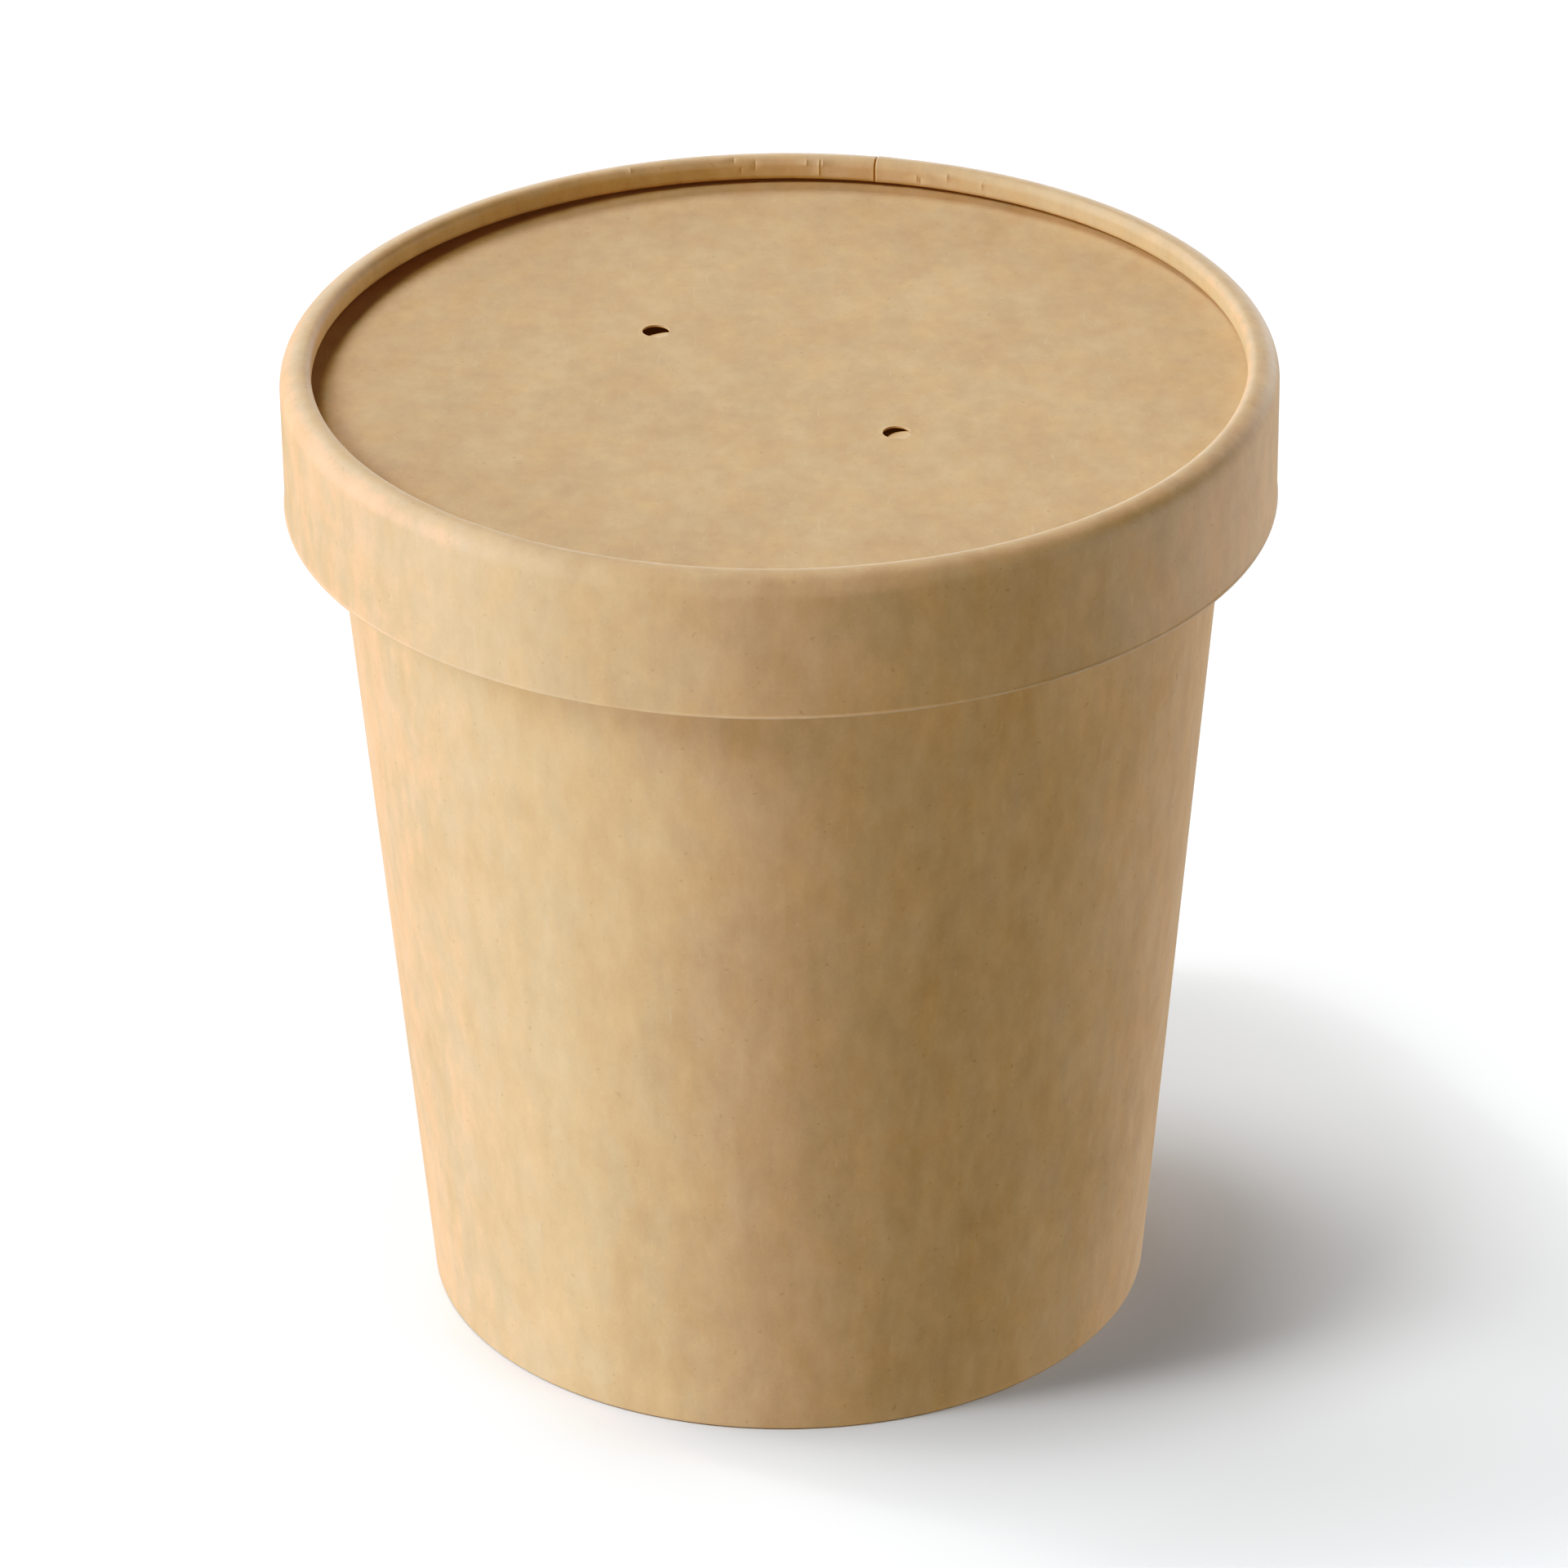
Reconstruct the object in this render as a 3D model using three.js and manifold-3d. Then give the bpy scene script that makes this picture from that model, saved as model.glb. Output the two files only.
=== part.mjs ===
// Takeaway soup container: a tapered paper cup shut by a two-piece paper lid.
// Millimetres, +Z up, origin at the middle of the foot. The front is -Y.
// Every turn is in degrees about +Z, from the front towards +X.
import * as THREE from 'three';
import { mergeVertices } from 'three/addons/utils/BufferGeometryUtils.js';
import Module from 'manifold-3d';

// Driving dimensions of the whole container
const OVERALL_HEIGHT = 104.4;
const LID_DIAMETER = 101;
const FOOT_DIAMETER = 74.6;
const CLEARANCE = 0.3;

// Paper thicknesses
const CUP_PAPER = 0.45;
const DISC_PAPER = 0.4;
const SKIRT_PAPER = 0.9;

// Lid: a ring with a rolled bead over a recessed disc
const SKIRT_DEPTH = 15.2;
const SKIRT_DRAW_IN = 0.12;
const SKIRT_EDGE_RADIUS = 0.3;
const BEAD_WIDTH = 3.2;
const BEAD_OUTER_ROUND = 2.2;
const BEAD_INNER_ROUND = 0.9;
const BEAD_TUCK = 0.6;
const DISC_RECESS = 2.8;

// Cup: wall, foot, rolled rim and the level that it is filled to
const CUP_RADIUS_AT_SKIRT = 45.3;
const FOOT_ROUNDING = 0.3;
const FOOT_FOLD = 1.5;
const BASE_RECESS = 5.5;
const RIM_ROLL_RADIUS = 1.6;
const RIM_ROLL_START = -160;
const RIM_ROLL_END = 180;
const HEADSPACE = 3;

// Vents: round punched holes whose tongues hang on at one side, bent down by their droop
const VENT_RADIUS = 1.4;
const VENT_RING_RADIUS = 17.1;
const VENTS = [
  { turn: 227.4, droop: 20 },
  { turn: 42.8, droop: 12 },
];
const TONGUE_PAPER = 0.25;
const TONGUE_GAP = 0.08;
const TONGUE_ROOT_WIDTH = 1.7;
const TONGUE_ROOT_LENGTH = 0.22;
const TONGUE_HINGE_TURN = 55;

// Lap seams. The ring's is a narrow groove. The cup's is a step that fades out past it.
const RING_SEAM = { turn: 167.5, halfWidth: 0.25, depth: 0.3 };
const CUP_SEAM = { turn: 196, width: 0.3, height: 0.35, fade: 30 };

// Fineness of the curved faces
const COLUMN_STEP = 5;
const VENT_SIDES = 24;
const ROLL_STEPS = 12;
const BEAD_STEPS = 6;
const EDGE_STEPS = 3;
const WELD_DISTANCE = 1e-5;

// Heights and radii that follow from the sizes above
const LID_RADIUS = LID_DIAMETER / 2;
const SKIRT_BOTTOM = OVERALL_HEIGHT - SKIRT_DEPTH;
const SKIRT_INSIDE = LID_RADIUS - SKIRT_PAPER;
const DISC_TOP = OVERALL_HEIGHT - DISC_RECESS;
const DISC_UNDERSIDE = DISC_TOP - DISC_PAPER;
const BEAD_UNDERSIDE = DISC_TOP + CLEARANCE;
const BEAD_INSIDE = LID_RADIUS - BEAD_WIDTH;
const RIM_TOP = DISC_UNDERSIDE - CLEARANCE;
const RIM_OUTSIDE = SKIRT_INSIDE - CLEARANCE;
const CONTENTS_TOP = DISC_UNDERSIDE - HEADSPACE;
const FOOT_RADIUS = FOOT_DIAMETER / 2;
const WALL_SLOPE = (CUP_RADIUS_AT_SKIRT - FOOT_RADIUS) / SKIRT_BOTTOM;

const wasm = await Module();
wasm.setup();

// Outer radius of the cup's wall at a height
function wallRadius(height) {
  return FOOT_RADIUS + WALL_SLOPE * height;
}

// Point of a plan view, at a turn and a distance from the axis
function planPoint(turn, distance) {
  const angle = THREE.MathUtils.degToRad(turn);
  return new THREE.Vector2(distance * Math.sin(angle), -distance * Math.cos(angle));
}

// Points along an arc of a section. Its angles are in degrees, 0 outwards and 90 upwards.
function arc(radiusAt, heightAt, radius, from, to, steps) {
  const points = [];
  for (let i = 0; i <= steps; i += 1) {
    const angle = THREE.MathUtils.degToRad(from + ((to - from) * i) / steps);
    const out = radiusAt + radius * Math.cos(angle);
    points.push(new THREE.Vector2(out, heightAt + radius * Math.sin(angle)));
  }
  return points;
}

// Turns of the columns of a revolved solid: even steps, and extra ones where a seam is
function columnTurns(seamTurns) {
  const turns = [...seamTurns];
  for (let turn = 0; turn < 360; turn += COLUMN_STEP) {
    const nearest = Math.min(...seamTurns.map((seam) => Math.abs(seam - turn)));
    if (nearest > COLUMN_STEP / 4) turns.push(turn);
  }
  turns.sort((a, b) => a - b);
  return [...turns, turns[0] + 360];
}

// Outward direction of a section at one of its points
function outwardAt(section, index) {
  const before = section[Math.max(index - 1, 0)];
  const after = section[Math.min(index + 1, section.length - 1)];
  return new THREE.Vector2(after.y - before.y, before.x - after.x).normalize();
}

// Revolves a section about +Z. The points of its skin stand proud by relief(turn).
function revolve(section, turns, skin, relief) {
  const geometry = new THREE.LatheGeometry(section, turns.length - 1);
  const position = geometry.getAttribute('position');
  turns.forEach((turn, column) => {
    section.forEach((point, row) => {
      const proud = row >= skin.first && row <= skin.last ? relief(turn) : 0;
      const moved = point.clone().addScaledVector(outwardAt(section, row), proud);
      const place = planPoint(turn, moved.x);
      position.setXYZ(column * section.length + row, place.x, place.y, moved.y);
    });
  });
  return geometry;
}

// A closed solid for cutting and joining, from a geometry
function toSolid(geometry) {
  const bare = geometry.clone();
  bare.deleteAttribute('normal');
  bare.deleteAttribute('uv');
  const merged = mergeVertices(bare, WELD_DISTANCE);
  const vertProperties = new Float32Array(merged.getAttribute('position').array);
  const triVerts = new Uint32Array(merged.index.array);
  return new wasm.Manifold(new wasm.Mesh({ numProp: 3, vertProperties, triVerts }));
}

function toGeometry(solid) {
  const mesh = solid.getMesh();
  const geometry = new THREE.BufferGeometry();
  geometry.setAttribute('position', new THREE.BufferAttribute(mesh.vertProperties, 3));
  geometry.setIndex(new THREE.BufferAttribute(mesh.triVerts, 1));
  geometry.computeVertexNormals();
  return geometry;
}

// Cup: recessed base, folded foot, tapered wall and rolled rim, filled to its level
function cupGeometry() {
  const foldInside = FOOT_RADIUS - FOOT_FOLD;
  const rollMiddle = RIM_OUTSIDE - RIM_ROLL_RADIUS;
  const rollHeight = RIM_TOP - RIM_ROLL_RADIUS;
  const wallTop = rollHeight - RIM_ROLL_RADIUS;
  const base = [
    new THREE.Vector2(0, BASE_RECESS),
    new THREE.Vector2(foldInside + WALL_SLOPE * BASE_RECESS, BASE_RECESS),
    new THREE.Vector2(foldInside, FOOT_ROUNDING),
    new THREE.Vector2(foldInside + FOOT_ROUNDING, 0),
    new THREE.Vector2(FOOT_RADIUS - FOOT_ROUNDING, 0),
  ];
  const wall = [
    new THREE.Vector2(wallRadius(FOOT_ROUNDING), FOOT_ROUNDING),
    new THREE.Vector2(wallRadius(SKIRT_BOTTOM), SKIRT_BOTTOM),
    new THREE.Vector2(wallRadius(wallTop), wallTop),
  ];
  const roll = arc(rollMiddle, rollHeight, RIM_ROLL_RADIUS, RIM_ROLL_START, RIM_ROLL_END, ROLL_STEPS);
  const contents = [
    new THREE.Vector2(wallRadius(CONTENTS_TOP) - CUP_PAPER, CONTENTS_TOP),
    new THREE.Vector2(0, CONTENTS_TOP),
  ];
  const skin = { first: base.length, last: base.length + wall.length - 1 };
  const relief = (turn) => {
    const past = turn - CUP_SEAM.turn;
    if (past < CUP_SEAM.width || past > CUP_SEAM.fade) return 0;
    return CUP_SEAM.height * (1 - past / CUP_SEAM.fade);
  };
  const turns = columnTurns([CUP_SEAM.turn, CUP_SEAM.turn + CUP_SEAM.width]);
  return revolve([...base, ...wall, ...roll, ...contents], turns, skin, relief);
}

// Lid ring: a skirt that hangs round the rim, under a bead rolled in over the disc
function ringGeometry() {
  const edge = SKIRT_EDGE_RADIUS;
  const outer = BEAD_OUTER_ROUND;
  const inner = BEAD_INNER_ROUND;
  const bottomOutside = LID_RADIUS - SKIRT_DRAW_IN;
  const bottomInside = SKIRT_INSIDE - SKIRT_DRAW_IN;
  const start = new THREE.Vector2(bottomInside, SKIRT_BOTTOM);
  const skinPoints = [
    ...arc(bottomOutside - edge, SKIRT_BOTTOM + edge, edge, -90, 0, EDGE_STEPS),
    ...arc(LID_RADIUS - outer, OVERALL_HEIGHT - outer, outer, 0, 90, BEAD_STEPS),
    ...arc(BEAD_INSIDE + inner, OVERALL_HEIGHT - inner, inner, 90, 180, BEAD_STEPS),
    ...arc(BEAD_INSIDE + BEAD_TUCK, BEAD_UNDERSIDE + BEAD_TUCK, BEAD_TUCK, 180, 270, EDGE_STEPS),
  ];
  const underBead = new THREE.Vector2(SKIRT_INSIDE, BEAD_UNDERSIDE);
  const section = [start, ...skinPoints, underBead, start.clone()];
  const skin = { first: 2, last: skinPoints.length - 1 };
  const { turn: seam, halfWidth, depth } = RING_SEAM;
  const relief = (turn) => (turn === seam ? -depth : 0);
  return revolve(section, columnTurns([seam - halfWidth, seam, seam + halfWidth]), skin, relief);
}

// Tongue of a vent: the punched round of paper, bent down about its root
function tongueGeometry(vent) {
  const radius = VENT_RADIUS - TONGUE_GAP;
  const halfRoot = TONGUE_ROOT_WIDTH / 2;
  const start = Math.asin(halfRoot / radius);
  const outline = new THREE.Shape();
  outline.absarc(-VENT_RADIUS, 0, radius, start, 2 * Math.PI - start, false);
  outline.lineTo(TONGUE_ROOT_LENGTH, -halfRoot);
  outline.lineTo(TONGUE_ROOT_LENGTH, halfRoot);
  outline.closePath();
  const settings = { depth: TONGUE_PAPER, bevelEnabled: false, curveSegments: VENT_SIDES };
  const geometry = new THREE.ExtrudeGeometry(outline, settings);
  const place = planPoint(vent.turn, VENT_RING_RADIUS);
  geometry.translate(0, 0, -TONGUE_PAPER / 2);
  geometry.rotateY(-THREE.MathUtils.degToRad(vent.droop));
  geometry.translate(VENT_RADIUS, 0, 0);
  geometry.rotateZ(planPoint(TONGUE_HINGE_TURN, 1).angle());
  geometry.translate(place.x, place.y, DISC_TOP - DISC_PAPER / 2);
  return geometry;
}

// Corners of a round outline with straight sides
function roundPoints(centre, radius, sides) {
  const points = [];
  for (let i = 0; i < sides; i += 1) {
    points.push(planPoint((360 * i) / sides, radius).add(centre));
  }
  return points;
}

// Lid disc: a flat round of paper under the bead, with its vents
function discGeometry() {
  const middle = new THREE.Vector2(0, 0);
  const outline = new THREE.Shape(roundPoints(middle, RIM_OUTSIDE, 360 / COLUMN_STEP));
  for (const vent of VENTS) {
    const place = planPoint(vent.turn, VENT_RING_RADIUS);
    outline.holes.push(new THREE.Path(roundPoints(place, VENT_RADIUS, VENT_SIDES)));
  }
  const plate = new THREE.ExtrudeGeometry(outline, { depth: DISC_PAPER, bevelEnabled: false });
  plate.translate(0, 0, DISC_UNDERSIDE);
  const tongues = VENTS.map((vent) => toSolid(tongueGeometry(vent)));
  return toGeometry(tongues.reduce((solid, tongue) => solid.add(tongue), toSolid(plate)));
}

const cupPaper = new THREE.MeshStandardMaterial({ color: 0xcdb088, roughness: 0.85, metalness: 0 });
const ringPaper = new THREE.MeshStandardMaterial({ color: 0xd0b38b, roughness: 0.85, metalness: 0 });
const discPaper = new THREE.MeshStandardMaterial({ color: 0xcbae85, roughness: 0.88, metalness: 0 });

const container = new THREE.Group();
const pieces = [
  ['cup', cupGeometry(), cupPaper],
  ['lid_ring', ringGeometry(), ringPaper],
  ['lid_disc', discGeometry(), discPaper],
];
for (const [name, geometry, material] of pieces) {
  const mesh = new THREE.Mesh(geometry, material);
  mesh.name = name;
  container.add(mesh);
}

export default container;
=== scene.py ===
"""Takeaway soup container of brown paperboard: a tapered cup, a rolled lid ring and a vented lid disc.

Shapes are drawn in millimetres, with +Z up and the front at -Y, and are scaled to metres at the end.
Every turn is in degrees about +Z, from the front towards +X.
"""
import math

import bmesh
import bpy
from mathutils import Euler, Matrix, Vector, noise


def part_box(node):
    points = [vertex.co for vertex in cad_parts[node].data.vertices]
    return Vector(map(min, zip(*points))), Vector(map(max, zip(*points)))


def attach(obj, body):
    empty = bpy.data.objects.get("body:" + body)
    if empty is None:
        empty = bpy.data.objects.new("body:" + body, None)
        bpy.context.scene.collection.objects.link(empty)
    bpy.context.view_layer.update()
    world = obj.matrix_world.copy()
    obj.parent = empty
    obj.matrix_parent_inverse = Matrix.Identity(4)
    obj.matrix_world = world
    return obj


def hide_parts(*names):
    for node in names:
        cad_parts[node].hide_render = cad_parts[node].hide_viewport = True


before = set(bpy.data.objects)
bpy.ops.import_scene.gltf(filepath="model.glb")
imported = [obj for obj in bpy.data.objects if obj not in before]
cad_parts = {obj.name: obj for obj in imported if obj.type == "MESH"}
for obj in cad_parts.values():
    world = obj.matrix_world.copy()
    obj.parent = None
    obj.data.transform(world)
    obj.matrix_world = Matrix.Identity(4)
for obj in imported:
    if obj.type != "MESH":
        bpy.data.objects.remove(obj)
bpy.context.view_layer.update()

MM = 0.001
ORIGIN = Vector((0, 0, 0))
UP = Vector((0, 0, 1))
RIGHT = Vector((1, 0, 0))
WELD_DISTANCE = 1e-4
SHARP_ANGLE = math.radians(34)
# Short stretch that keeps rounds and waves clear of what is beside them
CLEARANCE = 0.1
# A point this near to a line counts as on it
TOUCHING = 0.01


def corner_of(node, which):
    """Lowest (0) or highest (1) corner of a CAD node, in millimetres."""
    return Vector(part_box(node)[which]) / MM


# Sizes that the frame gives
RING_LOW = corner_of("lid_ring", 0)
RING_HIGH = corner_of("lid_ring", 1)
DISC_TOP = corner_of("lid_disc", 1).z
RIM_HIGH = corner_of("cup", 1)
OVERALL_HEIGHT = RING_HIGH.z
LID_RADIUS = RING_HIGH.x
SKIRT_BOTTOM = RING_LOW.z
RIM_OUTSIDE = RIM_HIGH.x
RIM_TOP = RIM_HIGH.z

# Cup
FOOT_RADIUS = 37.3
WALL_RADIUS_AT_SKIRT = 45.3
WALL_SLOPE = (WALL_RADIUS_AT_SKIRT - FOOT_RADIUS) / SKIRT_BOTTOM
FOOT_ROUNDING = 0.3
FOOT_FOLD = 1.5
FOLD_HEIGHT = 4.8
FOLD_PAPER = 0.3
FOLD_ROUNDING = 0.12
FOLD_FOOT_ROUNDING = 0.5
BASE_RECESS = 5.5
BASE_ROUNDING = 0.5
CUP_PAPER = 0.45
ROLL_RADIUS = 1.6
ROLL_START = 20
CONTENTS_TOP = 98.2
CUP_SEAM_TURN = 196
CUP_SEAM_WIDTH = 0.12
CUP_SEAM_LEAD = 0.02
CUP_SEAM_HEIGHT = 0.35
CUP_SEAM_FADE = 30
WALL_SKIN = 0.6
WALL_WAVE = 0.03
WALL_WAVE_WIDTH = 16
WALL_WAVE_HEIGHT = 45
WALL_WAVE_RISE = 12

# Lid ring
SKIRT_PAPER = 0.9
SKIRT_DRAW_IN = 0.12
BEAD_WIDTH = 3.2
BEAD_OUTER_ROUND = 2.2
BEAD_INNER_ROUND = 0.9
BEAD_TUCK = 0.6
BEAD_GAP = 0.3
LIP_HEIGHT = 0.35
LIP_FLARE = 0.13
LIP_ROUNDING = 0.12
LIP_TOP_ROUNDING = 0.08
RING_SEAM_TURN = 167.5
RING_SEAM_DEPTH = 0.26
RING_SEAM_HALF_WIDTH = 0.2
RING_SEAM_EDGE_RISE = 0.06
RING_SEAM_EDGE_FADE = 4
RING_SKIN = 0.2
RING_WAVE = 0.02
RING_WAVES_ROUND = 3
RING_WAVE_HEIGHT = 60

# Lid disc
DISC_PAPER = 0.25
VENT_RADIUS = 1.4
VENT_RING_RADIUS = 17.1
VENT_COLLAR = 0.5
VENT_LIP = 0.05
TONGUE_GAP = 0.08
TONGUE_HINGE_HALF_TURN = 36
VENTS = [
    {"turn": 227.4, "hinge": 28, "droop": 22},
    {"turn": 42.8, "hinge": 45, "droop": 16},
]

# Fineness of the round faces
COLUMN_STEP = 2
DISC_SIDES = 180
VENT_SIDES = 40
WALL_ROWS = 40
SKIRT_ROWS = 11
BEAD_WALL_ROWS = 4
ROLL_STEPS = 24
BEAD_OUTER_STEPS = 16
BEAD_INNER_STEPS = 10
ROUND_STEPS = 6
SMALL_ROUND_STEPS = 3

# Creases across the bead at the back. Their angles run round the bead: outwards is 0, upwards 90, inwards 180.
CREASES = [
    {"turn": 198.9, "start": 137, "end": 160, "rise": 0.07},
    {"turn": 185.5, "start": 142, "end": 158, "rise": -0.07},
    {"turn": 184.6, "start": 183, "end": 198, "rise": -0.06},
    {"turn": 182.8, "start": 156, "end": 188, "rise": -0.07},
    {"turn": 176.3, "start": 157, "end": 174, "rise": 0.06},
    {"turn": 174.7, "start": 157, "end": 208, "rise": 0.07},
    {"turn": 174.2, "start": 157, "end": 176, "rise": 0.06},
    {"turn": 162.0, "start": 187, "end": 204, "rise": 0.07},
    {"turn": 161.5, "start": 199, "end": 210, "rise": -0.07},
    {"turn": 157.9, "start": 170, "end": 188, "rise": 0.07},
    {"turn": 153.1, "start": 176, "end": 197, "rise": 0.06},
]
CREASE_FADE = 5
CREASE_HALF_WIDTH = 0.14


def wall_radius(height):
    """Outer radius of the cup's wall at a height."""
    return FOOT_RADIUS + WALL_SLOPE * height


def plan_point(turn, distance, height=0):
    """Point at a turn and a distance from the axis."""
    angle = math.radians(turn)
    return Vector((distance * math.sin(angle), -distance * math.cos(angle), height))


def vent_middle(vent):
    """Middle of a vent, at height 0."""
    return plan_point(vent["turn"], VENT_RING_RADIUS)


def turn_of(point):
    """Turn of a point, from 0 up to 360."""
    return math.degrees(math.atan2(point.x, -point.y)) % 360


def distance_of(point):
    """Distance of a point from the axis."""
    return math.hypot(point.x, point.y)


def smooth_step(low, high, value):
    """0 up to low, 1 from high on, and a soft rise between them."""
    share = min(max((value - low) / (high - low), 0), 1)
    return share * share * (3 - 2 * share)


class Pen:
    """Draws a section at the front, in the plane x = 0, as a chain of edges from one tip."""

    def __init__(self, bm, out, up):
        self.bm = bm
        self.first = bm.verts.new((0, -out, up))
        self.tip = self.first

    def line(self, out, up, rows=1):
        """Straight stretch to a distance from the axis and a height, in equal rows."""
        start = self.tip.co.copy()
        end = Vector((0, -out, up))
        for row in range(rows):
            grown = bmesh.ops.extrude_vert_indiv(self.bm, verts=[self.tip])
            self.tip = grown["verts"][0]
            self.tip.co = start.lerp(end, (row + 1) / rows)
        return self.tip

    def arc(self, out, up, degrees, steps):
        """Round stretch about a middle. Positive angles turn from outwards to upwards."""
        middle = Vector((0, -out, up))
        for _ in range(steps):
            angle = -math.radians(degrees / steps)
            turned = Matrix.Rotation(angle, 4, RIGHT) @ (self.tip.co - middle)
            self.line(-(middle + turned).y, (middle + turned).z)

    def close(self):
        """Joins the tip to the first point."""
        self.bm.edges.new((self.tip, self.first))

    def round(self, vert, radius, segments=ROUND_STEPS):
        """Rounds one corner of the section."""
        bmesh.ops.bevel(self.bm, geom=[vert], offset=radius, offset_type="OFFSET", affect="VERTICES",
                        segments=segments, profile=0.5, material=-1, clamp_overlap=True)


def column_turns(extra):
    """Turns of the columns of a revolved piece: even steps, and extra ones where a seam or crease is."""
    even = [step * COLUMN_STEP for step in range(round(360 / COLUMN_STEP) + 1)]
    clear = COLUMN_STEP / 6
    kept = [turn for turn in even if all(abs(turn - other) > clear for other in extra)]
    return sorted(kept + list(extra))


def revolve(bm, turns):
    """Sweeps the section at the front round the axis, with a column at each turn, and closes it."""
    swept = bm.verts[:] + bm.edges[:]
    for here, there in zip(turns, turns[1:]):
        step = bmesh.ops.spin(bm, geom=swept, cent=ORIGIN, axis=UP, angle=math.radians(there - here), steps=1)
        swept = step["geom_last"]
    bmesh.ops.remove_doubles(bm, verts=bm.verts, dist=WELD_DISTANCE)
    bmesh.ops.recalc_face_normals(bm, faces=bm.faces)


def shape_skin(bm, relief, level=False):
    """Moves each point by relief(point) along its normal, or straight out from the axis where level is set."""
    bm.normal_update()
    moves = []
    for vert in bm.verts:
        out = vert.co.to_2d().to_3d().normalized() if level else vert.normal
        moves.append((vert, out * relief(vert.co)))
    for vert, move in moves:
        vert.co += move


def finish_piece(bm, name, node, material, crisp=None):
    """Makes the drawn shape a finished piece in metres that stands for a CAD node.

    crisp(edge) tells which edges stay crisp although the faces beside them are nearly level.
    """
    bm.normal_update()
    for edge in bm.edges:
        level = len(edge.link_faces) == 2 and edge.calc_face_angle() < SHARP_ANGLE
        edge.smooth = level and not (crisp and crisp(edge))
    bmesh.ops.scale(bm, vec=(MM, MM, MM), verts=bm.verts)
    for face in bm.faces:
        face.smooth = True
    mesh = bpy.data.meshes.new(name)
    bm.to_mesh(mesh)
    bm.free()
    piece = bpy.data.objects.new(name, mesh)
    bpy.context.scene.collection.objects.link(piece)
    piece.data.materials.append(material)
    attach(piece, "root")
    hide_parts(node)
    return piece


class Wire:
    """A value from a socket. Sums on it add their Math nodes."""

    def __init__(self, paint, socket):
        self.paint = paint
        self.socket = socket

    def __add__(self, other):
        return self.paint.math("ADD", self, other)

    def __radd__(self, other):
        return self.paint.math("ADD", other, self)

    def __sub__(self, other):
        return self.paint.math("SUBTRACT", self, other)

    def __rsub__(self, other):
        return self.paint.math("SUBTRACT", other, self)

    def __mul__(self, other):
        return self.paint.math("MULTIPLY", self, other)

    def __rmul__(self, other):
        return self.paint.math("MULTIPLY", other, self)


class Paint:
    """The nodes of one material."""

    def __init__(self, name):
        self.material = bpy.data.materials.new(name)
        self.material.use_nodes = True
        self.tree = self.material.node_tree
        self.tree.nodes.clear()

    def node(self, kind, settings, inputs, output=0):
        """Adds a node, sets its settings, then its sockets, and gives one of its outputs."""
        made = self.tree.nodes.new(kind)
        for name, value in settings.items():
            setattr(made, name, value)
        for name, value in inputs.items():
            if isinstance(value, Wire):
                self.tree.links.new(value.socket, made.inputs[name])
            else:
                made.inputs[name].default_value = value
        return Wire(self, made.outputs[output]) if made.outputs else None

    def math(self, operation, first, second):
        """A Math node on two values."""
        return self.node("ShaderNodeMath", {"operation": operation}, {0: first, 1: second})

    def place(self, scale=(1, 1, 1), turn=(0, 0, 0), shift=(0, 0, 0)):
        """Object coordinates in millimetres, stretched, turned or moved."""
        coordinates = self.node("ShaderNodeTexCoord", {}, {}, "Object")
        in_mm = [share / MM for share in scale]
        return self.node("ShaderNodeMapping", {}, {
            "Vector": coordinates, "Scale": in_mm, "Rotation": turn, "Location": shift})

    def along(self, axis):
        """Object coordinate along one axis, in millimetres."""
        return self.node("ShaderNodeSeparateXYZ", {}, {"Vector": self.place()}, axis)

    def noise(self, size, detail=2, rough=0.5, scale=(1, 1, 1), turn=(0, 0, 0), shift=(0, 0, 0), bend=0):
        """Cloudy value about zero whose patches are size millimetres across."""
        value = self.node("ShaderNodeTexNoise", {}, {
            "Vector": self.place(scale, turn, shift), "Scale": 1 / size, "Detail": detail,
            "Roughness": rough, "Distortion": bend})
        return value - 0.5

    def ramp(self, low, high, value):
        """0 up to low, 1 from high on, with a soft rise between them."""
        return self.node("ShaderNodeMapRange", {"interpolation_type": "SMOOTHSTEP"}, {
            "Value": value, "From Min": low, "From Max": high, "To Min": 0, "To Max": 1})

    def blend(self, share, first, second):
        """Colour between two colours."""
        return self.node("ShaderNodeMix", {"data_type": "RGBA"}, {0: share, 6: first, 7: second}, 2)

    def scaled(self, colour, share):
        """Colour times a value."""
        return self.node("ShaderNodeVectorMath", {"operation": "SCALE"}, {0: colour, "Scale": share})

    def finish(self, **inputs):
        """Adds the surface and the output."""
        sockets = {name.replace("_", " "): value for name, value in inputs.items()}
        surface = self.node("ShaderNodeBsdfPrincipled", {}, sockets)
        self.node("ShaderNodeOutputMaterial", {}, {"Surface": surface})
        return self.material


# Colours of the paper, linear
PAPER = (0.530, 0.345, 0.186, 1)
PAPER_WARM = (0.547, 0.329, 0.160, 1)
# Pale raw fibre, also used for the painted highlight along the skirt's lip
PAPER_RAW_AND_HIGHLIGHT = (0.66, 0.50, 0.33, 1)
FIBRE_DARK = (0.30, 0.18, 0.08, 1)
FLOOR_PALE = (0.5, 0.5, 0.5, 1)

# How much each layer of the pattern changes the paper
CLOUD_DEPTH = 0.28
MOTTLE_DEPTH = 0.36
GRAIN_DEPTH = 0.12
BAND_DEPTH = 0.12
LIGHT_FIBRE_DEPTH = 0.2
DARK_FIBRE_DEPTH = 0.1
SPECK_DEPTH = 0.3
# The skirt's lip: its raw edge, with a painted highlight on the shaded side
LIP_EDGE_AND_HIGHLIGHT_DEPTH = 0.6
VENT_RIM_DEPTH = 0.4

# The surface of the paper, with its relief in millimetres
PAPER_ROUGHNESS = 0.86
ROUGHNESS_CHANGE = 0.08
RING_GLOSS = 0.24
RELIEF = 0.012
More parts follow.
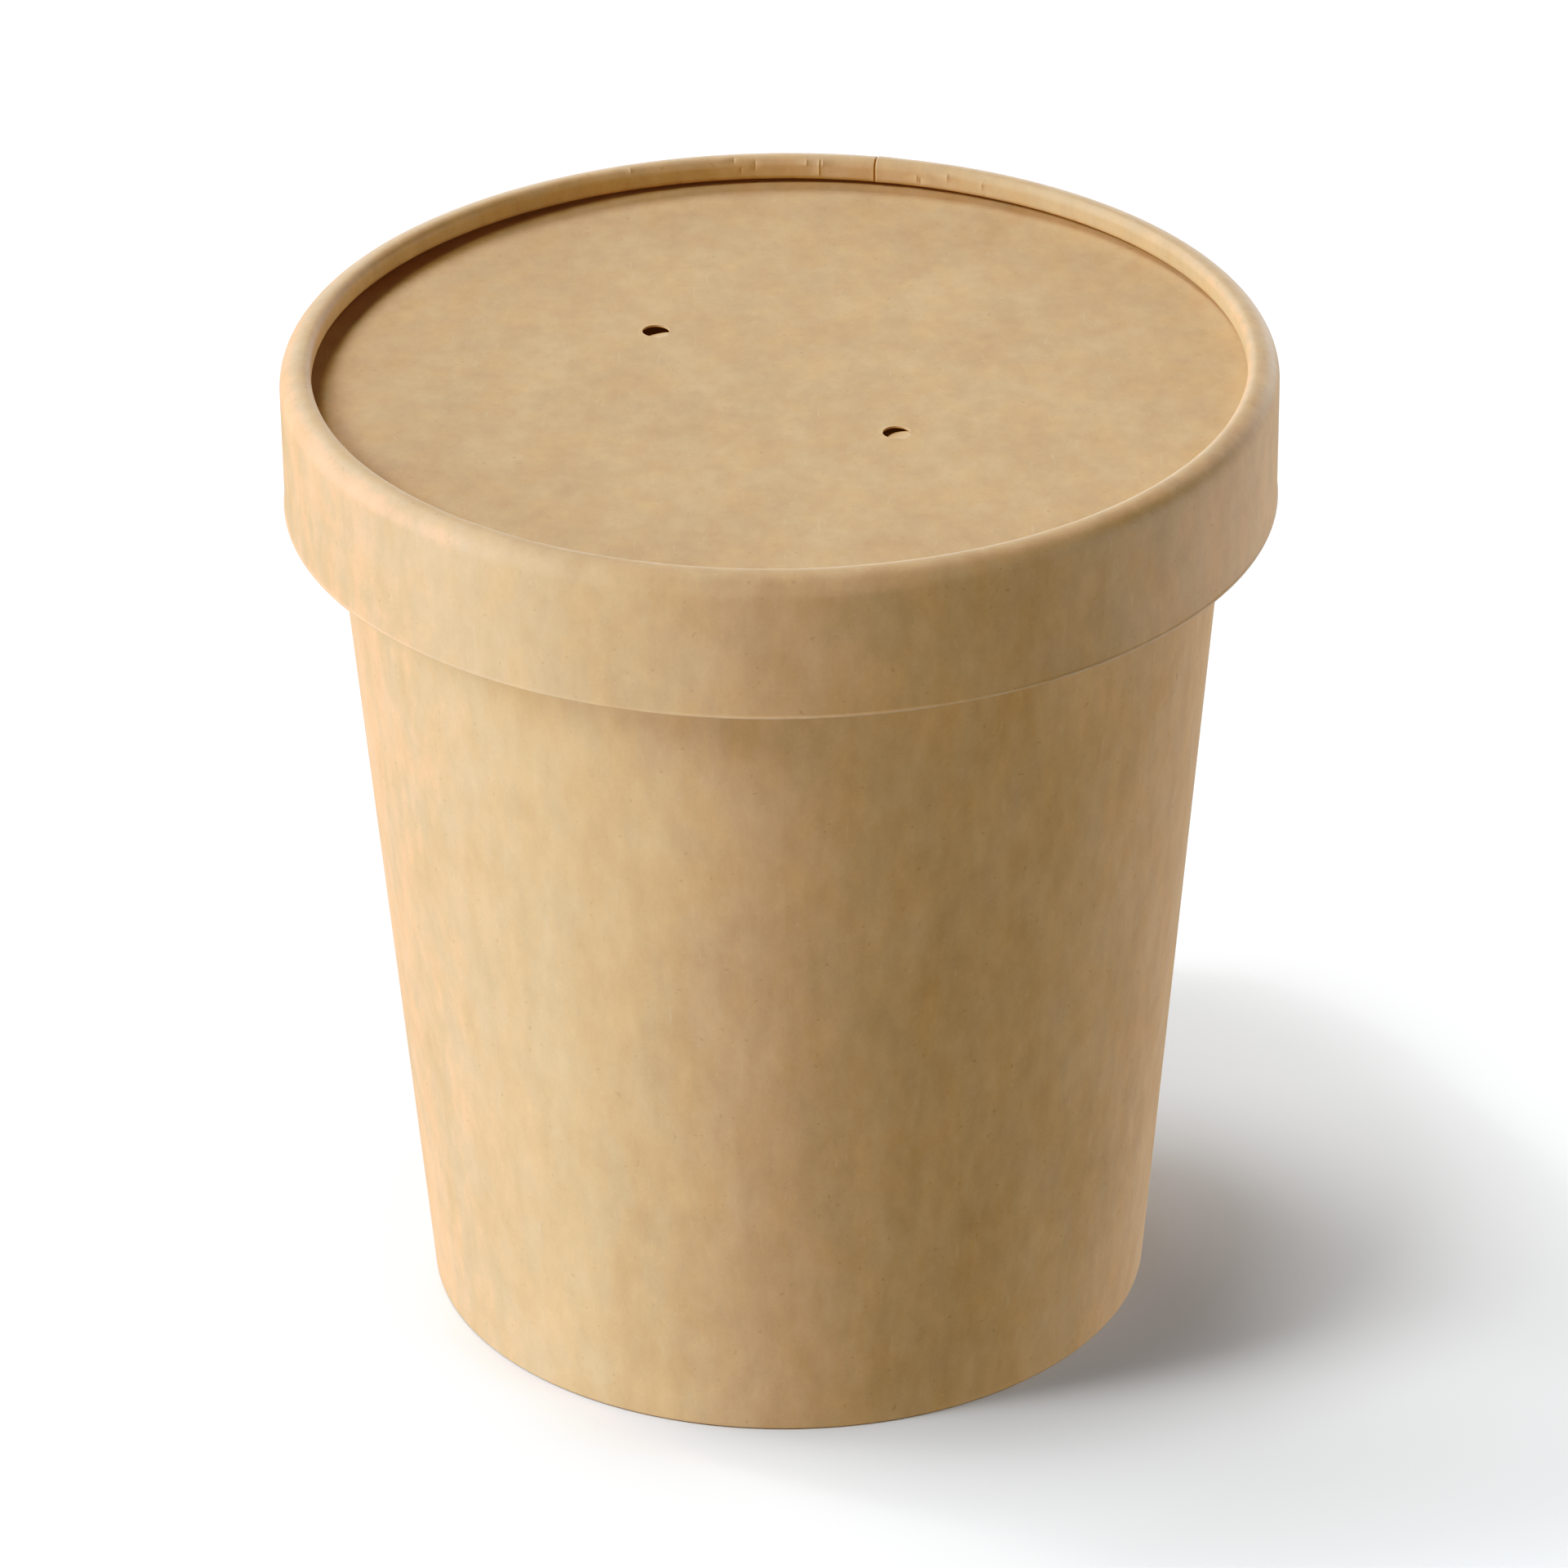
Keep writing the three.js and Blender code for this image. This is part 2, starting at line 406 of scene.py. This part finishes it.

# Where the raw edges show, and where the skirt's lip gets its painted highlight: heights over the skirt's lip
# and places across it, on its shaded side, depths under the disc's top, and distances from the edge of a vent
# where its rim starts, is full, fades and ends
LIP_EDGE_AND_HIGHLIGHT_BAND = (0.1, 0.3)
LIP_HIGHLIGHT_ACROSS = (-16, -2)
VENT_BAND = (-0.12, -0.06)
VENT_RIM = (-0.14, -0.08, 0.02, 0.12)


def paper(name, streak, edge=None, gloss=0):
    """Uncoated brown board: cloudy, streaked along its grain, with fibres and a few dark specks.

    streak stretches the pattern along the grain. edge(paint) gives where raw cut edges show, and at the
    skirt's lip a painted highlight.
    """
    paint = Paint(name)
    clouds = paint.noise(10, detail=3, scale=streak)
    mottle = paint.noise(2.2, detail=3, rough=0.6, scale=streak, shift=(3, 7, 1))
    grain = paint.noise(0.35, detail=2, rough=0.6, shift=(5, 2, 9))
    fibres = paint.noise(0.5, detail=1, scale=(1, 1, 0.12), turn=(0.3, 0.2, 0), bend=0.4)
    cross_fibres = paint.noise(0.5, detail=1, scale=(1, 0.12, 1), turn=(0.7, 0.5, 0.4), bend=0.4)
    warmth = paint.noise(4, detail=4, rough=0.6, scale=streak, shift=(20, 4, 8))
    bands = paint.noise(3, detail=3, rough=0.6, scale=(1, 1, 0.05), shift=(9, 9, 0))
    specks = paint.ramp(0.3, 0.34, paint.noise(0.6, detail=0, shift=(31, 17, 3)))
    tone = 1 + clouds * CLOUD_DEPTH + mottle * MOTTLE_DEPTH + grain * GRAIN_DEPTH + bands * BAND_DEPTH
    colour = paint.scaled(paint.blend(paint.ramp(-0.25, 0.25, warmth), PAPER, PAPER_WARM), tone)
    light_fibres = paint.ramp(0.2, 0.32, fibres) + paint.ramp(0.2, 0.32, cross_fibres)
    colour = paint.blend(light_fibres * LIGHT_FIBRE_DEPTH, colour, PAPER_RAW_AND_HIGHLIGHT)
    dark_fibres = paint.ramp(0.24, 0.34, 0 - fibres)
    colour = paint.blend(dark_fibres * DARK_FIBRE_DEPTH + specks * SPECK_DEPTH, colour, FIBRE_DARK)
    # Paler raw cut edges; at the skirt's lip this is also a painted highlight on the shaded side
    if edge:
        colour = paint.blend(edge(paint), colour, PAPER_RAW_AND_HIGHLIGHT)
    height = grain * 0.6 + fibres * 0.4 + cross_fibres * 0.3 + mottle * 0.6
    bump = paint.node("ShaderNodeBump", {}, {"Height": height, "Strength": 1, "Distance": RELIEF * MM})
    roughness = PAPER_ROUGHNESS - gloss + mottle * ROUGHNESS_CHANGE
    return paint.finish(Base_Color=colour, Roughness=roughness, Normal=bump, IOR=1.45)


def lip_edge_and_highlight(paint):
    """Painted highlight and raw edge along the skirt's lower lip, raggedly from the middle to the right, the
    shaded side.
    """
    full, ends = (SKIRT_BOTTOM + height for height in LIP_EDGE_AND_HIGHLIGHT_BAND)
    at_lip = 1 - paint.ramp(full, ends, paint.along("Z"))
    ragged = 0.5 + paint.ramp(-0.15, 0.15, paint.noise(2.5, detail=3)) * 0.5
    # Only from the middle to the right: the painted highlight sits on the shaded side
    return at_lip * paint.ramp(*LIP_HIGHLIGHT_ACROSS, paint.along("X")) * ragged * LIP_EDGE_AND_HIGHLIGHT_DEPTH


def vent_edges(paint):
    """The raw edges of the paper round the vents, on top only."""
    low, high = (DISC_TOP + depth for depth in VENT_BAND)
    top = paint.ramp(low, high, paint.along("Z"))
    starts, full, fades, ends = (VENT_RADIUS + distance for distance in VENT_RIM)
    rims = []
    for vent in VENTS:
        level = paint.node("ShaderNodeVectorMath", {"operation": "MULTIPLY"}, {0: paint.place(), 1: (1, 1, 0)})
        away = paint.node("ShaderNodeVectorMath", {"operation": "DISTANCE"},
                          {0: level, 1: vent_middle(vent)}, "Value")
        rims.append(paint.ramp(starts, full, away) * (1 - paint.ramp(fades, ends, away)))
    return (rims[0] + rims[1]) * top * VENT_RIM_DEPTH


def make_cup():
    """Cup: raised base, folded foot, tapered wall and the rolled rim under the lid."""
    fold_inside = FOOT_RADIUS - FOOT_FOLD
    roll_middle = RIM_OUTSIDE - ROLL_RADIUS
    roll_height = RIM_TOP - ROLL_RADIUS
    wall_top = roll_height - ROLL_RADIUS
    base_edge = fold_inside + WALL_SLOPE * BASE_RECESS + FOLD_PAPER
    bm = bmesh.new()
    pen = Pen(bm, 0, BASE_RECESS)
    pen.line(base_edge * 0.5, BASE_RECESS, rows=4)
    base_corner = pen.line(base_edge, BASE_RECESS, rows=4)
    pen.line(base_edge, FOLD_HEIGHT)
    fold_edge = pen.line(fold_inside + WALL_SLOPE * FOLD_HEIGHT, FOLD_HEIGHT)
    fold_foot = pen.line(fold_inside, 0, rows=2)
    foot = pen.line(FOOT_RADIUS, 0)
    pen.line(wall_radius(wall_top), wall_top, rows=WALL_ROWS)
    below = math.radians(ROLL_START)
    pen.line(roll_middle - ROLL_RADIUS * math.cos(below), roll_height - ROLL_RADIUS * math.sin(below))
    pen.arc(roll_middle, roll_height, 360 - ROLL_START, ROLL_STEPS)
    pen.line(wall_radius(CONTENTS_TOP) - CUP_PAPER, CONTENTS_TOP)
    pen.line(0, CONTENTS_TOP, rows=4)
    pen.round(base_corner, BASE_ROUNDING)
    pen.round(fold_edge, FOLD_ROUNDING, SMALL_ROUND_STEPS)
    pen.round(fold_foot, FOLD_FOOT_ROUNDING)
    pen.round(foot, FOOT_ROUNDING, 4)
    seam = [CUP_SEAM_TURN + CUP_SEAM_WIDTH * share for share in (0.5, 1, 2)]
    revolve(bm, column_turns([CUP_SEAM_TURN - CUP_SEAM_LEAD] + seam))

    def relief(point):
        """The lap seam and the gentle waves of the wall, outside only."""
        if point.z > wall_top + CLEARANCE or distance_of(point) < wall_radius(point.z) - WALL_SKIN:
            return 0
        past = (turn_of(point) - CUP_SEAM_TURN) % 360
        step = smooth_step(0, CUP_SEAM_WIDTH, past) * (1 - smooth_step(0, CUP_SEAM_FADE, past))
        wave = noise.noise(Vector((point.x / WALL_WAVE_WIDTH, point.y / WALL_WAVE_WIDTH,
                                   point.z / WALL_WAVE_HEIGHT)))
        return step * CUP_SEAM_HEIGHT + wave * WALL_WAVE * smooth_step(0, WALL_WAVE_RISE, point.z)

    shape_skin(bm, relief, level=True)
    return finish_piece(bm, "paper_cup", "cup", paper("cup_board", (1, 1, 0.5)))


def make_ring():
    """Lid ring: a skirt round the rim, and a bead rolled in over the disc."""
    bottom_outside = LID_RADIUS - SKIRT_DRAW_IN
    bottom_inside = bottom_outside - SKIRT_PAPER
    bead_inside = LID_RADIUS - BEAD_WIDTH
    bead_underside = DISC_TOP + BEAD_GAP
    bead_middle = LID_RADIUS - BEAD_WIDTH / 2
    bead_height = OVERALL_HEIGHT - BEAD_INNER_ROUND
    bm = bmesh.new()
    pen = Pen(bm, bottom_inside, SKIRT_BOTTOM)
    lip = pen.line(bottom_outside + LIP_FLARE, SKIRT_BOTTOM)
    lip_top = pen.line(bottom_outside + LIP_FLARE * 0.8, SKIRT_BOTTOM + LIP_HEIGHT * 0.6)
    pen.line(bottom_outside, SKIRT_BOTTOM + LIP_HEIGHT)
    pen.line(LID_RADIUS, OVERALL_HEIGHT - BEAD_OUTER_ROUND - 2 * CLEARANCE, rows=SKIRT_ROWS)
    outer = pen.line(LID_RADIUS, OVERALL_HEIGHT)
    inner = pen.line(bead_inside, OVERALL_HEIGHT)
    pen.line(bead_inside, OVERALL_HEIGHT - BEAD_INNER_ROUND - CLEARANCE)
    pen.line(bead_inside, bead_underside + BEAD_TUCK + CLEARANCE, rows=BEAD_WALL_ROWS)
    tuck = pen.line(bead_inside, bead_underside)
    pen.line(LID_RADIUS - SKIRT_PAPER, bead_underside)
    pen.close()
    pen.round(lip, LIP_ROUNDING, SMALL_ROUND_STEPS)
    pen.round(lip_top, LIP_TOP_ROUNDING, 2)
    pen.round(outer, BEAD_OUTER_ROUND, BEAD_OUTER_STEPS)
    pen.round(inner, BEAD_INNER_ROUND, BEAD_INNER_STEPS)
    pen.round(tuck, BEAD_TUCK)
    extra = [RING_SEAM_TURN + RING_SEAM_HALF_WIDTH * share for share in (-2.5, -1, -0.3, 0, 0.3, 1)]
    for crease in CREASES:
        extra += [crease["turn"] + CREASE_HALF_WIDTH * share for share in (-1.2, -0.5, 0, 0.5, 1.2)]
    revolve(bm, column_turns(extra))

    def relief(point):
        """The lap seam, the creases and the gentle waves, outside and on the bead only."""
        out = distance_of(point)
        inside_skirt = out < bottom_outside - RING_SKIN and point.z < bead_underside + CLEARANCE
        if out < bead_inside - TOUCHING or inside_skirt:
            return 0
        turn = turn_of(point)
        around = math.radians(turn)
        place = Vector((math.sin(around), math.cos(around), point.z / RING_WAVE_HEIGHT)) * RING_WAVES_ROUND
        total = noise.noise(place) * RING_WAVE
        past = turn - RING_SEAM_TURN
        if past > 0:
            total -= RING_SEAM_DEPTH * smooth_step(RING_SEAM_HALF_WIDTH, 0, past)
        else:
            total -= RING_SEAM_DEPTH * smooth_step(RING_SEAM_HALF_WIDTH * 0.5, 0, -past)
            total += (RING_SEAM_EDGE_RISE * (1 - smooth_step(0, RING_SEAM_EDGE_FADE, -past))
                      * smooth_step(0, RING_SEAM_HALF_WIDTH * 0.5, -past))
        if point.z > bead_underside:
            bead_angle = math.degrees(math.atan2(point.z - bead_height, out - bead_middle)) % 360
            for crease in CREASES:
                near = 1 - smooth_step(0, CREASE_HALF_WIDTH, abs(turn - crease["turn"]))
                reach = (smooth_step(crease["start"] - CREASE_FADE, crease["start"], bead_angle)
                         * (1 - smooth_step(crease["end"], crease["end"] + CREASE_FADE, bead_angle)))
                total += crease["rise"] * near * reach
        return total

    shape_skin(bm, relief)
    # The ring's paper carries the painted highlight along the skirt's lip
    return finish_piece(bm, "rolled_lid_ring", "lid_ring",
                        paper("ring_board", (1, 1, 0.6), lip_edge_and_highlight, RING_GLOSS))


def cut_arc(bm, middle, hinge, radius):
    """Open arc round a vent, from one end of its hinge to the other. Gives its two end points."""
    start = hinge + TONGUE_HINGE_HALF_TURN
    sweep = math.radians(360 - 2 * TONGUE_HINGE_HALF_TURN)
    tip = bm.verts.new(middle + plan_point(start, radius))
    swept = bmesh.ops.spin(bm, geom=[tip], cent=middle, axis=UP, angle=sweep, steps=VENT_SIDES)
    end = next(item for item in swept["geom_last"] if isinstance(item, bmesh.types.BMVert))
    return tip, end


def make_disc():
    """Lid disc: a flat round of paper with two punched vents, whose tongues hang on at one side."""
    bm = bmesh.new()
    outer = bmesh.ops.create_circle(bm, cap_ends=False, radius=RIM_OUTSIDE, segments=DISC_SIDES)
    plate_edges = list({edge for vert in outer["verts"] for edge in vert.link_edges})
    for vent in VENTS:
        middle = vent_middle(vent)
        collar = bmesh.ops.create_circle(bm, cap_ends=False, radius=VENT_RADIUS + VENT_COLLAR,
                                         segments=VENT_SIDES)
        bmesh.ops.translate(bm, verts=collar["verts"], vec=middle)
        collar_edges = list({edge for vert in collar["verts"] for edge in vert.link_edges})
        plate_edges += collar_edges
        known = set(bm.edges)
        hole_start, hole_end = cut_arc(bm, middle, vent["hinge"], VENT_RADIUS)
        hole_edges = [edge for edge in bm.edges if edge not in known]
        known = set(bm.edges)
        tongue_start, tongue_end = cut_arc(bm, middle, vent["hinge"], VENT_RADIUS - TONGUE_GAP)
        tongue_edges = [edge for edge in bm.edges if edge not in known]
        hinge = bm.edges.new((tongue_start, tongue_end))
        ends = [bm.edges.new((hole_start, tongue_start)), bm.edges.new((hole_end, tongue_end))]
        bmesh.ops.triangle_fill(bm, use_beauty=True, use_dissolve=False, edges=tongue_edges + [hinge])
        bmesh.ops.triangle_fill(bm, use_beauty=True, use_dissolve=False,
                                edges=collar_edges + hole_edges + ends + [hinge])
        hanging = {vert for edge in tongue_edges for vert in edge.verts} - {tongue_start, tongue_end}
        axis = (tongue_end.co - tongue_start.co).normalized()
        inward = middle - tongue_start.co
        sense = 1 if axis.cross(inward).z < 0 else -1
        droop = Matrix.Rotation(sense * math.radians(vent["droop"]), 3, axis)
        bmesh.ops.rotate(bm, cent=tongue_start.co, matrix=droop, verts=list(hanging))
        rim = {vert for edge in hole_edges for vert in edge.verts} - {hole_start, hole_end}
        bmesh.ops.translate(bm, verts=list(rim), vec=(0, 0, VENT_LIP))
    bmesh.ops.triangle_fill(bm, use_beauty=True, use_dissolve=False, edges=plate_edges)
    bmesh.ops.translate(bm, verts=bm.verts, vec=(0, 0, DISC_TOP - VENT_LIP))
    grown = bmesh.ops.extrude_face_region(bm, geom=bm.faces[:])
    lower = [item for item in grown["geom"] if isinstance(item, bmesh.types.BMVert)]
    bmesh.ops.translate(bm, verts=lower, vec=(0, 0, -DISC_PAPER))
    bmesh.ops.recalc_face_normals(bm, faces=bm.faces)

    def on_collar(edge):
        """Whether an edge bounds the flat plate, round a vent."""
        middles = [vent_middle(vent) for vent in VENTS]
        return any(all(abs((vert.co - middle).to_2d().length - VENT_RADIUS - VENT_COLLAR) < TOUCHING
                       for vert in edge.verts) for middle in middles)

    return finish_piece(bm, "vented_lid_disc", "lid_disc",
                        paper("disc_board", (1, 0.7, 1), vent_edges), on_collar)


# The floor's radius is in metres, and its gap under the foot in millimetres
FLOOR_RADIUS = 6
FLOOR_SIDES = 96
FLOOR_GAP = 0.02


def make_floor():
    """Plain grey floor, which its own lights make white. Two lights of the paper stand for its glow."""
    paint = Paint("pale_floor")
    material = paint.finish(Base_Color=FLOOR_PALE, Roughness=0.9, IOR=1.2)
    bm = bmesh.new()
    bmesh.ops.create_circle(bm, cap_ends=True, radius=FLOOR_RADIUS, segments=FLOOR_SIDES)
    mesh = bpy.data.meshes.new("floor")
    bm.to_mesh(mesh)
    bm.free()
    floor = bpy.data.objects.new("floor", mesh)
    floor.data.materials.append(material)
    bpy.context.scene.collection.objects.link(floor)
    floor.location.z = -FLOOR_GAP * MM
    floor.visible_diffuse = False
    floor.visible_glossy = False
    floor.visible_shadow = False
    return floor


# How bright each brightness of the scene is shown: deeper shade and softer highlights, as in the photograph
TONE = [(0.05, 0.02), (0.1, 0.075), (0.15, 0.14), (0.25, 0.25), (0.5, 0.5), (0.75, 0.68), (0.93, 0.785),
        (1.05, 0.865), (1.13, 0.96)]
TONE_WHITE = 1.2
# The darkest shades keep this much red and green, as in the photograph
DARKEST = [0.045, 0.016]
DARKEST_UP_TO = 0.1

# Soft lights far off, which make white paper that faces them as bright as their power. A light below the floor
# stands for what the floor throws back. The floor has lights of its own, for its short soft shadow.
NEUTRAL = (1, 1, 1)
COOL = (0.965, 0.985, 1)
PAPER_LIGHTS = [
    {"name": "left_panel", "turn": -73, "elevation": 38, "spread": 24, "power": 0.77},
    {"name": "left_low_panel", "turn": -90, "elevation": 5, "spread": 24, "power": 0.67},
    {"name": "left_front_low_panel", "turn": -60, "elevation": 5, "spread": 24, "power": 0.39},
    {"name": "front_panel", "turn": 0, "elevation": 5, "spread": 24, "power": 0.11},
    {"name": "right_panel", "turn": 86, "elevation": 5, "spread": 24, "power": 0.43},
    {"name": "back_right_panel", "turn": 150, "elevation": 5, "spread": 24, "power": 0.52},
    {"name": "back_low_panel", "turn": 180, "elevation": 5, "spread": 24, "power": 0.31},
    {"name": "back_left_panel", "turn": -145, "elevation": 40, "spread": 20, "power": 0.73},
    {"name": "left_floor_glow", "turn": -60, "elevation": -30, "spread": 60, "power": 0.45},
    {"name": "right_floor_glow", "turn": 115, "elevation": -30, "spread": 60, "power": 0.33},
]
FLOOR_LIGHTS = [
    {"name": "floor_left_low", "turn": -115, "elevation": 13, "spread": 40, "power": 2.8},
    {"name": "floor_left", "turn": -70, "elevation": 45, "spread": 12, "power": 0.44},
    {"name": "floor_key", "turn": -60, "elevation": 74, "spread": 12, "power": 0.65},
    {"name": "floor_top", "turn": -60, "elevation": 84, "spread": 16, "power": 0.48},
    {"name": "floor_back", "turn": -155, "elevation": 67, "spread": 24, "power": 0.41},
    {"name": "floor_right", "turn": 102, "elevation": 55, "spread": 20, "power": 0.22},
    {"name": "floor_front_right", "turn": 55, "elevation": 46, "spread": 20, "power": 0.21},
]


def hang_light(light, tint, receivers):
    """One soft light that shines on the receivers alone."""
    data = bpy.data.lights.new(light["name"], "SUN")
    data.energy = light["power"] * math.pi
    data.color = tint
    data.angle = math.radians(light["spread"])
    lamp = bpy.data.objects.new(light["name"], data)
    elevation = math.radians(light["elevation"])
    towards = plan_point(light["turn"], math.cos(elevation), math.sin(elevation))
    lamp.rotation_euler = towards.to_track_quat("Z", "Y").to_euler()
    lamp.location = towards
    lamp.light_linking.receiver_collection = receivers
    bpy.context.scene.collection.objects.link(lamp)


def make_lights(container, floor):
    """Plain soft studio light, before a white room that only the camera sees."""
    for name, lights, tint, lit in (("paper_side", PAPER_LIGHTS, NEUTRAL, container),
                                    ("floor_side", FLOOR_LIGHTS, COOL, [floor])):
        receivers = bpy.data.collections.new(name)
        for thing in lit:
            receivers.objects.link(thing)
        for light in lights:
            hang_light(light, tint, receivers)
    world = bpy.data.worlds.new("room")
    world.use_nodes = True
    background = world.node_tree.nodes["Background"]
    background.inputs["Color"].default_value = (1, 1, 1, 1)
    background.inputs["Strength"].default_value = TONE_WHITE
    seen_by = world.cycles_visibility
    seen_by.diffuse = seen_by.glossy = seen_by.transmission = seen_by.scatter = False
    bpy.context.scene.world = world


CAMERA_DISTANCE = 1.0325
CAMERA_ELEVATION = 28.12
CAMERA_AIM_HEIGHT = 0.05515
CAMERA_ROLL = -0.6227
CAMERA_LENS = 229.56
CAMERA_FILM = 36


def make_camera():
    """Camera at the photograph's viewing angle."""
    data = bpy.data.cameras.new("camera")
    data.lens = CAMERA_LENS
    data.sensor_width = CAMERA_FILM
    data.clip_start = 0.01
    data.clip_end = 50
    camera = bpy.data.objects.new("camera", data)
    elevation = math.radians(CAMERA_ELEVATION)
    aim = Vector((0, 0, CAMERA_AIM_HEIGHT))
    towards = plan_point(0, math.cos(elevation), math.sin(elevation))
    camera.location = aim + towards * CAMERA_DISTANCE
    upright = towards.to_track_quat("Z", "Y")
    camera.rotation_euler = (upright @ Euler((0, 0, math.radians(CAMERA_ROLL))).to_quaternion()).to_euler()
    bpy.context.scene.collection.objects.link(camera)
    bpy.context.scene.camera = camera


def set_tone():
    """Plain view with the photograph's contrast."""
    view = bpy.context.scene.view_settings
    view.view_transform = "Standard"
    view.look = "None"
    view.use_curve_mapping = True
    view.curve_mapping.white_level = [TONE_WHITE] * 3
    curve = view.curve_mapping.curves[3]
    for place, shown in TONE:
        curve.points.new(place / TONE_WHITE, shown)
    for curve, least in zip(view.curve_mapping.curves, DARKEST):
        curve.points[0].location = (0, least)
        curve.points.new(DARKEST_UP_TO, DARKEST_UP_TO)
        for point in curve.points:
            point.handle_type = "VECTOR"
    view.curve_mapping.update()


make_camera()
floor = make_floor()
container = [make_cup(), make_ring(), make_disc()]
make_lights(container, floor)
set_tone()
